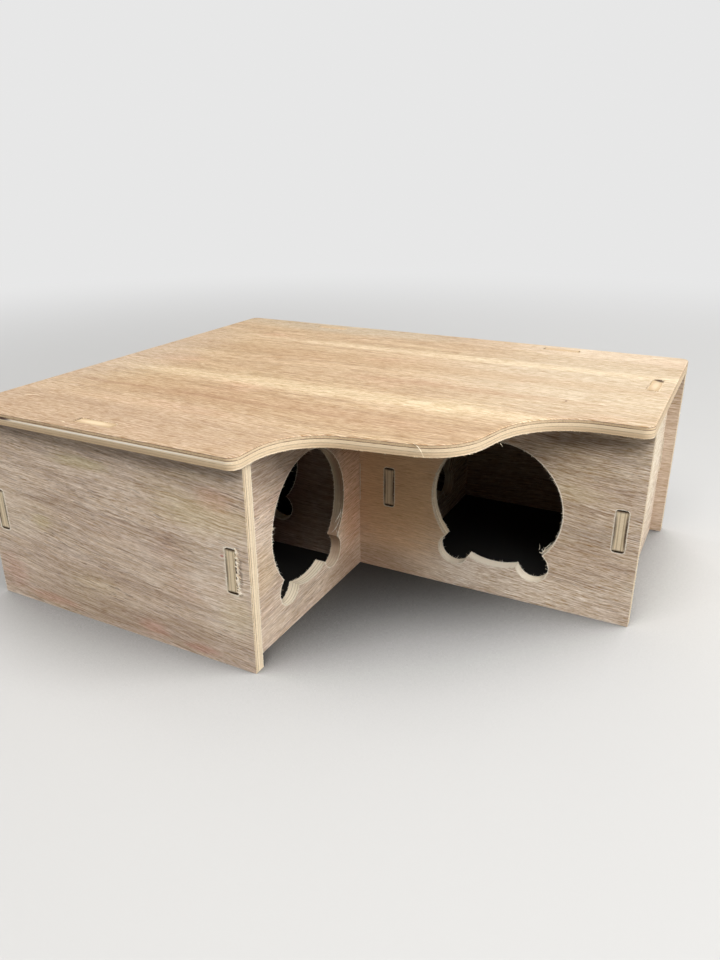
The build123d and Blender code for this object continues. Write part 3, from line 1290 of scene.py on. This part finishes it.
@dataclass(frozen=True)
class Walls:
    """The seven upright panels, and what is torn out round their doorways and slots. Sizes are in
    millimetres."""

    panels: tuple[Panel, ...] = (
        Panel(
            "front_wall", Lie.FACES_FRONT, 1.0, -0.096, slots=(LEFT, SIDE), roof_tabs=(-70.8,),
            roof_tab_tone="E2CCAA", fuzz_width=1.1,
            marks=(
                Blemish((-95, 61, 0), (45, 4.5, 9), "846A59", 0.22, 1.5),
                Blemish((-45, 57, 0), (45, 4.5, 9), "846A59", 0.24, 1.5),
                Blemish((-8, 51, 0), (26, 7.5, 9), "7C6252", 0.24, 1.7),
                Blemish((-60, 27, 0), (85, 5, 9), "A08470", 0.26, 1.0),
                Blemish((-70, 7, 0), (110, 15, 9), "A68A76", 0.50, 0.8),
                Blemish((-115, 49, 0), (10, 6, 9), "CDBB8A", 0.45, 0.9),
                Blemish((-82, 86, 0), (26, 5, 9), "C9BC88", 0.40, 1.0),
                Blemish((-12, 74, 0), (36, 13, 9), "DCC79A", 0.50, 1.0),
                Blemish((2, 28, 0), (13, 15, 9), "DECBA2", 0.40, 1.0),
                Blemish((-142, 15, 0), (14, 15, 9), "CF9C88", 0.34, 1.3),
                Blemish((-115, 5, 0), (26, 4, 9), "D29A80", 0.38, 1.3),
                Blemish((-48, 7, 0), (13, 6, 9), "D39A86", 0.38, 1.3),
                Blemish((-20, 4, 0), (14, 4, 9), "C98A78", 0.36, 1.3),
                Blemish((-6, 82, 0), (14, 8, 9), "E0B296", 0.40, 1.1),
                Blemish((-6, 44, 0), (24, 44, 9), "F4E2CC", 0.34, 0.6),
                Blemish((-136, 50, 0), (26, 24, 9), "EEDCC6", 0.30, 0.8),
                # painted shade along the right side of the front wall's right slot
                Blemish((5.2, 50, 0), (1.9, 13, 3), "5A4230", 0.60, 2.2),
                Blemish((-3.7, 56.5, 0), (1.5, 0.8, 3), "A8503C", 0.75, 0.3))),
        Panel(
            "cross_wall", Lie.FACES_FRONT, 2.0, -0.052, slots=(SIDE, DIVIDER, RIGHT),
            # near-white feet, partly a painted highlight
            start_tab=LEFT, doorways=((80.95, 51.0), (-70.8, 54.0)), foot_tone_and_highlight=("FFF3DE", 0.95),
            grain=1.4, calm=Blemish((24, 55, 0), (72, 110, 9), "FFFFFF", 0.62, 0.4),
            marks=(
                Blemish((98, 58, 0), (70, 110, 9), "A2845E", 0.26, 0.3),
                # painted light: warmer beside the corner, where light thrown back from the wood
                # falls
                Blemish((26, 52, 0), (52, 68, 9), "F6C68C", 0.66, 0.4),
                # painted shade: the face inside the front room, darkened and reddened
                Blemish((-72, 50, 0), (86, 130, 9), "74402A", 0.80, 0.3),
                Blemish((122, 92, 0), (30, 7, 9), "7E6652", 0.50, 1.7),
                Blemish((118, 66, 0), (24, 6, 9), "D6C29E", 0.40, 1.0),
                Blemish((128, 45, 0), (26, 7, 9), "A79488", 0.35, 1.4),
                Blemish((20, 3, 0), (32, 16, 9), "96745A", 0.50, 0.6),
                Blemish((66, 13, 0), (22, 15, 9), "FFEEDC", 0.50, 0.6),
                Blemish((88, 9, 0), (76, 13, 9), "F6E4CE", 0.55, 0.8))),
        Panel(
            "back_wall", Lie.FACES_BACK, 3.0, 0.03, slots=(LEFT, DIVIDER, RIGHT),
            # the back wall's inner face gets a lighter painted shade
            roof_tabs=(-80.0, 80.0), roof_tab_tone="C6A882", inner_tint="D6CCC0",
            # painted light: lifts the inner face round its right end, which stands out beyond the
            # right wall in the light, against the inner face's painted shade
            marks=(Blemish((146, 55, SHEET), (20, 100, 5), "FFF2E6", 0.95, 0.6),)),
        Panel(
            "inner_side_wall", Lie.FACES_RIGHT, 4.0, 0.02, start_tab=FRONT, end_tab=CROSS,
            # near-white feet, partly a painted highlight
            doorways=((-57.7, 51.0),), foot_tone_and_highlight=("FFF2D8", 0.95), foot_plies=(0.8, 2.2, 3.7),
            marks=(
                Blemish((-100, 40, 0), (14, 18, 9), "DCC29C", 0.35, 1.2),
                Blemish((-15, 30, 0), (14, 22, 9), "C99C84", 0.45, 1.0),
                Blemish((-14, 55, 0), (30, 70, 9), "D8A070", 0.45, 0.5),
                Blemish((-98, 88, 0), (26, 20, 9), "94806E", 0.40, 1.0),
                Blemish((-26, 3, 0), (32, 19, 9), "94765C", 0.50, 0.6)),
            edge_marks=(
                Blemish((-33, 26, HALF_SHEET), (16, 20, 9), "C09C80", 0.92, 0.4),
                Blemish((-28, 64, 1.4), (18, 32, 4.4), "BC9676", 0.85, 0.3))),
        Panel(
            "divider", Lie.FACES_RIGHT, 5.0, 0.04, start_tab=CROSS, end_tab=BACK,
            doorways=((56.9, 51.0),)),
        Panel(
            "right_wall", Lie.FACES_RIGHT, 6.0, -0.02, start_tab=CROSS, end_tab=BACK,
            roof_tabs=(56.9,), roof_tab_tone="D8C4A4",
            # paler outer face: partly the veneer's own tone, partly painted light where the light
            # from the right falls on it
            marks=(Blemish((40, 60, 0), (110, 80, 9), "FFF2DA", 0.85, 0.6),),
            edge_marks=(
                Blemish((66.2, ROOF_TOP, 1.4), (2.6, 6, 3.4), "4E3826", 0.90, 0.4),)),
        Panel(
            "left_wall", Lie.FACES_LEFT, 7.0, 0.05, slots=(CROSS,), start_tab=FRONT,
            end_tab=BACK),
    )
    posts: tuple[tuple[float, float], ...] = (
        (LEFT, FRONT), (SIDE, FRONT), (LEFT, CROSS), (SIDE, CROSS), (DIVIDER, CROSS),
        (RIGHT, CROSS), (LEFT, BACK), (DIVIDER, BACK), (RIGHT, BACK))
    post_reach: float = 7.0
    joint_reach: float = 11.5
    clear_of_ground: float = 1.5
    clear_of_roof: float = 99.0
    long_rim: float = 50.0
    tuft_count: int = 30
    burr_count: int = 60
    splinters: tuple[Sliver, ...] = (
        Sliver((106.2, -5.15, 29.6), (107.6, -5.6, 31.6), (108.4, -5.7, 34.2), 0.45),
        Sliver((109.2, -5.15, 30.6), (111.0, -5.6, 32.0), (113.2, -5.3, 31.9), 0.40),
        Sliver((107.6, -5.15, 33.2), (109.3, -5.7, 34.8), (110.6, -5.4, 36.8), 0.35),
        Sliver((105.0, -5.15, 31.5), (105.6, -5.8, 33.5), (105.2, -5.9, 35.4), 0.30),
        Sliver((114.0, -5.15, 61.5), (113.4, -5.6, 62.4), (112.4, -5.8, 62.9), 0.35),
        Sliver((109.6, -5.15, 71.0), (108.8, -5.6, 71.5), (107.9, -5.8, 71.4), 0.35),
        Sliver((3.7, -91.9, 58.4), (4.1, -91.2, 59.0), (4.2, -90.3, 59.2), 0.40),
        Sliver((3.7, -26.8, 42.6), (3.4, -28.2, 39.4), (1.4, -31.2, 34.6), 0.90),
        Sliver((3.7, -26.6, 41.4), (3.8, -28.8, 37.0), (2.0, -32.0, 31.6), 0.60),
        Sliver((3.8, -29.2, 37.6), (3.2, -31.2, 33.4), (0.6, -33.4, 30.2), 0.80),
        Sliver((3.7, -31.6, 28.8), (4.1, -31.9, 30.6), (3.4, -32.4, 32.6), 0.60),
        Sliver((4.0, -30.4, 30.4), (4.1, -31.0, 29.0), (3.8, -31.4, 27.4), 0.90),
    )

    def build(self) -> None:
        """Dress the panels, and grow the fibres and splinters on their edges."""
        for panel in self.panels:
            dress(panel.node, panel.finish().material())
        torn = TornWood("torn_wall_fibres", "FFF8EA", "E6D0B0").material()
        rims = joined([panel_rims(panel.node, panel.lie) for panel in self.panels])
        middle = rims.middle()
        height = middle[:, 2]
        clear = (height > self.clear_of_ground * MM) & (height < self.clear_of_roof * MM)
        upright = np.abs(rims.start[:, 2] - rims.end[:, 2]) > self.long_rim * MM
        at_joint = np.abs(height - JOINT_HEIGHT * MM) < self.joint_reach * MM
        in_slot = clear & ~upright & at_joint & self.near_post(middle)
        in_doorway = clear & ~upright & ~in_slot
        pieces = {
            "doorway_fibres": FibreFringe(3.2, seed=11).grow(rims.only(in_doorway)),
            "slot_fibres": FibreFringe(2.0, 0.35 * MM, 0.10 * MM,
                                       seed=12).grow(rims.only(in_slot)),
            "end_fibres": FibreFringe(1.5, 0.5 * MM, seed=13).grow(rims.only(clear & upright)),
            "doorway_splinters": splinters(self.splinters),
            "slot_burr": splinters(self.burr()),
        }
        for name, mesh_data in pieces.items():
            add_piece(name, mesh_data, torn, "walls")

    def near_post(self, middle: np.ndarray) -> np.ndarray:
        """Find the places that lie near where two walls meet, on the map.

        Args:
            middle: the places, one row each, in metres.

        Returns:
            True for each place within reach of a meeting of walls.
        """
        near = np.zeros(len(middle), bool)
        for x, y in self.posts:
            away = np.hypot(middle[:, 0] - x * MM, middle[:, 1] - y * MM)
            near |= away < self.post_reach * MM
        return near

    def burr(self) -> tuple[Sliver, ...]:
        """Scatter short pale splinters: a tuft on the corner over the right doorway's right ear,
        and a row that crosses the right side of the front wall's right slot.

        Returns:
            The splinters.
        """
        random = np.random.default_rng(21)
        made = []
        for place in random.uniform(0.0, 1.0, self.tuft_count):
            x, z = 107.4 + 5.0 * place, 30.0 + 5.4 * place
            reach, rise, lift = random.uniform((-2.6, -0.3, 0.1), (-0.3, 2.4, 0.5))
            made.append(Sliver((x, -5.1, z), (x + reach * 0.6, -5.2 - lift, z + rise * 0.4),
                               (x + reach, -5.2 - lift * 0.5, z + rise),
                               random.uniform(0.16, 0.40)))
        for up in random.uniform(40.5, 62.0, self.burr_count):
            x0, x1, drop, lift = random.uniform((2.6, 4.6, 0.6, 0.15), (4.0, 6.2, 2.4, 0.50))
            made.append(Sliver((x0, -119.0, up), ((x0 + x1) / 2, -119.0 - lift, up - drop * 0.4),
                               (x1, -119.05, up - drop), random.uniform(0.30, 0.75)))
        return tuple(made)


# ---------------------------------------------------------------------------------------------
# The roof
# ---------------------------------------------------------------------------------------------

@dataclass(frozen=True)
class Roof:
    """The lift-off roof. Sizes are in millimetres.

    inside is the part of the roof that holds its slots: lowest and highest X, lowest and highest Y.
    The wave of its front edge starts at wave_left and ends at wave_back.
    """

    rounding: float = 0.55
    inside: tuple[float, float, float, float] = (-148.0, 148.0, -119.0, 119.6)
    wave_left: float = 8.0
    wave_back: float = -12.0
    # veneer bands and tone patches; among them painted sheen, painted shade, and painted shade in
    # the gap round each tab in the roof
    bands: tuple[Blemish, ...] = (
        # paler right half: partly veneer tone, partly painted sheen
        Blemish((125, 46, 0), (130, 100, 9), "D0C0A6", 0.56, 0.5),
        Blemish((-70, 116, 0), (130, 22, 9), "B2A894", 0.46, 0.5),
        # darker front left: partly veneer tone, partly painted shade
        Blemish((-80, -113, 0), (180, 62, 9), "B69C84", 0.56, 0.6),
        Blemish((0, 40, 0), (230, 14, 9), "BA9A76", 0.48),
        Blemish((-20, 5, 0), (170, 16, 9), "B89C7C", 0.32),
        Blemish((60, 8, 0), (90, 7, 9), "B08A6A", 0.40, 1.4),
        Blemish((-30, -58, 0), (190, 17, 9), "B08E6E", 0.50),
        Blemish((-60, -60, 0), (110, 3, 9), "9E785A", 0.40, 1.6),
        Blemish((30, 71, 0), (240, 9, 9), "ECD8B4", 0.38),
        Blemish((0, -26, 0), (230, 12, 9), "E8D4AE", 0.38),
        Blemish((-90, -84, 0), (70, 7, 9), "D0B392", 0.40, 1.2),
        # paler back right: partly veneer tone, partly painted sheen
        Blemish((118, 118, 0), (120, 26, 9), "E8D6BE", 0.42, 0.5),
        Blemish((-155, 0, 0), (60, 130, 9), "C4B4A4", 0.34, 0.5),
        Blemish((-96, -8, 0), (2.4, 0.9, 3), "F0E0C0", 0.9, 0.5),
        Blemish((108, 9.5, 0), (0.9, 1.6, 3), "6E5138", 0.9, 0.3),
        # painted shade in the gap round the front wall's tab in the roof
        Blemish((-77.5, -113.1, 0), (5.0, 0.7, 3), "6A4A34", 0.85, 0.3),
        Blemish((-81.9, -114.2, 0), (0.8, 1.6, 3), "6A4A34", 0.80, 0.3),
        # painted shade in the gap round the right wall's tab in the roof
        Blemish((RIGHT, 68.7, 0), (3.6, 2.2, 3), "5A4230", 1.0, 0.2),
        Blemish((139.0, 52.0, 0), (0.6, 6.0, 3), "9A7E60", 0.60, 0.3),
    )
    # the front edge's splits and ply lines, and painted shade on the cut walls at the ends of the
    # roof's slots
    splits_and_gap_shade: tuple[Blemish, ...] = (
        Blemish((-64, -125.4, 5.8), (100, 3, 4.0), "9A8468", 0.35, 0.3),
        Blemish((-64, -125.4, 2.55), (112, 3, 0.55), "FFF8EC", 0.90, 0.3),
        Blemish((-121, -125.4, 2.3), (8, 3, 1.0), "40201A", 0.95, 0.2),
        Blemish((-140, -125.4, 2.4), (16, 3, 0.6), "5E3826", 0.85, 0.3),
        Blemish((-90, -125.4, 1.4), (30, 3, 0.5), "8E6A4C", 0.50, 0.6),
        # painted shade on the cut walls at the ends of the roof's slots
        Blemish((RIGHT, 67.6, 0), (4, 1.6, 9), "4A3628", 0.9, 0.2),
        Blemish((RIGHT, 46.2, 0), (4, 0.9, 9), "4A3628", 0.8, 0.2),
        Blemish((-81.4, FRONT, 0), (0.9, 4, 9), "5A4230", 0.7, 0.3),
    )
    splinters: tuple[Sliver, ...] = (
        Sliver((65.6, -77.6, 105.75), (70.2, -81.6, 106.05), (74.6, -84.9, 102.4), 0.45),
        Sliver((-86.4, -122.0, 105.75), (-84.8, -121.6, 106.0), (-83.0, -121.9, 105.75), 0.9),
        Sliver((-136.7, -99.2, 105.7), (-133.0, -97.1, 105.95), (-129.0, -95.4, 105.75), 0.6),
        Sliver((93.4, -46.2, 100.1), (94.3, -46.8, 99.5), (95.0, -46.7, 98.5), 0.35),
    )

    def build(self) -> None:
        """Dress the roof, and grow the fibres and splinters on its edges."""
        lie = Lie.FACES_UP
        finish = PlywoodFinish("roof_plywood", lie, outer_face("roof", lie), 8.0, ROOF_VENEER,
                               ROOF_EDGE, blemishes=self.bands, edge_blemishes=self.splits_and_gap_shade,
                               rounding=self.rounding * MM)
        dress("roof", finish.material())
        torn = TornWood("torn_roof_fibres", "FBF0D8", "D9BE94").material()
        rims = panel_rims("roof", lie)
        x, y, _ = (rims.middle() / MM).T
        upper = rims.out[:, 2] > 0
        left, right, front, back = self.inside
        inside = (x > left) & (x < right) & (y > front) & (y < back)
        wave = ~upper & (x > self.wave_left) & (y < self.wave_back)
        pieces = {
            "roof_edge_fibres": FibreFringe(4.0, 0.4 * MM, 0.11 * MM,
                                            seed=14).grow(rims.only(wave)),
            "roof_slot_fibres": FibreFringe(2.6, 0.5 * MM, seed=15).grow(
                rims.only(upper & inside)),
            "roof_splinters": splinters(self.splinters),
        }
        for name, mesh_data in pieces.items():
            add_piece(name, mesh_data, torn, "roof")


# ---------------------------------------------------------------------------------------------
# Studio
# ---------------------------------------------------------------------------------------------

@dataclass(frozen=True)
class Lamp:
    """A square soft light that looks at the house. Places and sizes are in metres, power in
    watts."""

    name: str
    place: Point
    size: float
    power: float

    def build(self, target: Point) -> None:
        """Hang the lamp and turn it to a place.

        Args:
            target: what it looks at.
        """
        data = bpy.data.lights.new(self.name, "AREA")
        data.size, data.energy = self.size, self.power
        lamp = bpy.data.objects.new(self.name, data)
        lamp.location = self.place
        way = Vector(target) - Vector(self.place)
        lamp.rotation_euler = way.to_track_quat("-Z", "Y").to_euler()
        bpy.context.scene.collection.objects.link(lamp)


@dataclass(frozen=True)
class Studio:
    """Pale floor, soft lights, a soft sky and the camera. Angles are in degrees, lengths in metres.

    The floor's colour darkens, as painted shade, where less than open[1] of the sky round it is
    open, within shade_reach. It fades into the backdrop between the two distances of fade. The sky
    gives one light between the two slants of horizon and another between those of zenith, each with
    its strength at both.
    """

    camera_place: Point = (0.182914, -0.348537, 0.211415)
    heading: float = 27.531
    downward: float = 22.507
    roll: float = -0.387
    focal_pixels: float = 762.555
    picture_height: float = 960.0
    sensor: float = 36.0
    nearest: float = 0.01
    target: Point = (0.0, 0.0, 0.05)
    floor_half: float = 6.0
    floor_pale: str = "BFBEBC"
    floor_shaded: str = "1C1B1A"
    floor_thrown_back: str = "5E5E5C"
    floor_roughness: float = 0.8
    shade_reach: float = 0.25
    open: tuple[float, float] = (0.10, 0.85)
    fade: tuple[float, float] = (0.30, 1.30)
    backdrop: float = 0.80
    horizon: tuple[float, ...] = (0.15, 0.50, 0.12, 0.0)
    zenith: tuple[float, ...] = (0.05, 0.85, 0.018, 0.072)
    lamps: tuple[Lamp, ...] = (
        Lamp("front_sky", (0.35, -1.15, 1.95), 1.3, 37.0),
        Lamp("corner_sky", (1.00, -1.15, 1.60), 0.9, 9.5),
        Lamp("right_sky", (1.20, 0.30, 1.85), 0.9, 28.8),
        Lamp("right_low", (1.85, -0.05, 0.95), 0.9, 17.5),
        Lamp("front_fill", (-1.15, -1.35, 0.40), 0.9, 3.6),
        Lamp("back_fill", (-0.45, 1.80, 0.30), 1.0, 6.5),
        Lamp("left_fill", (-1.85, 0.25, 0.30), 1.0, 6.0),
    )

    def camera(self) -> None:
        """Set the camera up from its place, heading, tilt and roll."""
        yaw, pitch, roll = (math.radians(a) for a in (self.heading, self.downward, self.roll))
        ahead = Vector((-math.sin(yaw) * math.cos(pitch), math.cos(yaw) * math.cos(pitch),
                        -math.sin(pitch)))
        level = Vector((math.cos(yaw), math.sin(yaw), 0))
        upright = level.cross(ahead)
        right = level * math.cos(roll) + upright * math.sin(roll)
        up = upright * math.cos(roll) - level * math.sin(roll)
        data = bpy.data.cameras.new("camera")
        data.sensor_width = self.sensor
        data.lens = self.focal_pixels * self.sensor / self.picture_height
        data.clip_start = self.nearest
        camera = bpy.data.objects.new("camera", data)
        turn = Matrix((right, up, -ahead)).transposed()
        camera.matrix_world = Matrix.Translation(self.camera_place) @ turn.to_4x4()
        bpy.context.scene.collection.objects.link(camera)
        bpy.context.scene.camera = camera

    def floor_material(self) -> bpy.types.Material:
        """Build the floor's material.

        It is pale to the camera, darker where the house closes it in, which is painted shade, and
        grey to the light that it throws back. Far out it glows as evenly as the backdrop.

        Returns:
            The new material.
        """
        made = bpy.data.materials.new("floor")
        made.use_nodes = True
        graph = Graph(made.node_tree)
        seen = graph.outputs("LightPath")["Is Camera Ray"]
        # painted shade: ambient occlusion darkens the floor's colour where the house closes it in
        open_sky = graph.outputs("AmbientOcclusion", {"samples": 8},
                                 Distance=self.shade_reach)["AO"]
        pale = graph.mix(graph.span(open_sky, *self.open), tone(self.floor_shaded),
                         tone(self.floor_pale))
        colour = graph.mix(seen, tone(self.floor_thrown_back), pale)
        near = graph.outputs("BsdfPrincipled", Base_Color=colour,
                             Roughness=self.floor_roughness)["BSDF"]
        far = graph.outputs("Emission", Color=tone("FFFFFF"), Strength=self.backdrop)["Emission"]
        reach = graph.vector("LENGTH", graph.outputs("TexCoord")["Object"])
        blend = graph.span(reach, *self.fade) * seen
        shader = graph.node("MixShader")
        for socket, value in zip(shader.inputs, (blend, near, far)):
            graph.set(socket, value)
        graph.node("OutputMaterial", Surface=Signal(graph, shader.outputs[0]))
        return made

    def floor(self) -> None:
        """Lay a plain square floor."""
        half = self.floor_half
        mesh = bpy.data.meshes.new("floor")
        mesh.from_pydata([(-half, -half, 0), (half, -half, 0), (half, half, 0), (-half, half, 0)],
                         [], [(0, 1, 2, 3)])
        floor = bpy.data.objects.new("floor", mesh)
        bpy.context.scene.collection.objects.link(floor)
        mesh.materials.append(self.floor_material())

    def sky(self) -> None:
        """Light the scene softly from above and from near the horizon. The camera sees a plain pale
        backdrop."""
        world = bpy.data.worlds.new("sky")
        world.use_nodes = True
        bpy.context.scene.world = world
        graph = Graph(world.node_tree)
        way = graph.outputs("TexCoord")["Generated"]
        height = graph.outputs("SeparateXYZ", Vector=way)["Z"]
        strength = graph.span(height, *self.horizon) + graph.span(height, *self.zenith)
        seen = graph.outputs("LightPath")["Is Camera Ray"]
        strength = graph.math("MULTIPLY_ADD", seen, self.backdrop - strength, strength)
        shader = graph.outputs("Background", Color=(1, 1, 1, 1), Strength=strength)["Background"]
        graph.node("OutputWorld", Surface=shader)

    def build(self) -> None:
        """Set everything up."""
        bpy.context.scene.view_settings.view_transform = "Standard"
        self.camera()
        self.floor()
        self.sky()
        for lamp in self.lamps:
            lamp.build(self.target)


def main() -> None:
    """Build the studio, the walls and the roof in order."""
    logging.basicConfig(level=logging.INFO, format="%(name)s %(message)s")
    Studio().build()
    Walls().build()
    Roof().build()


if __name__ == "__main__":
    main()
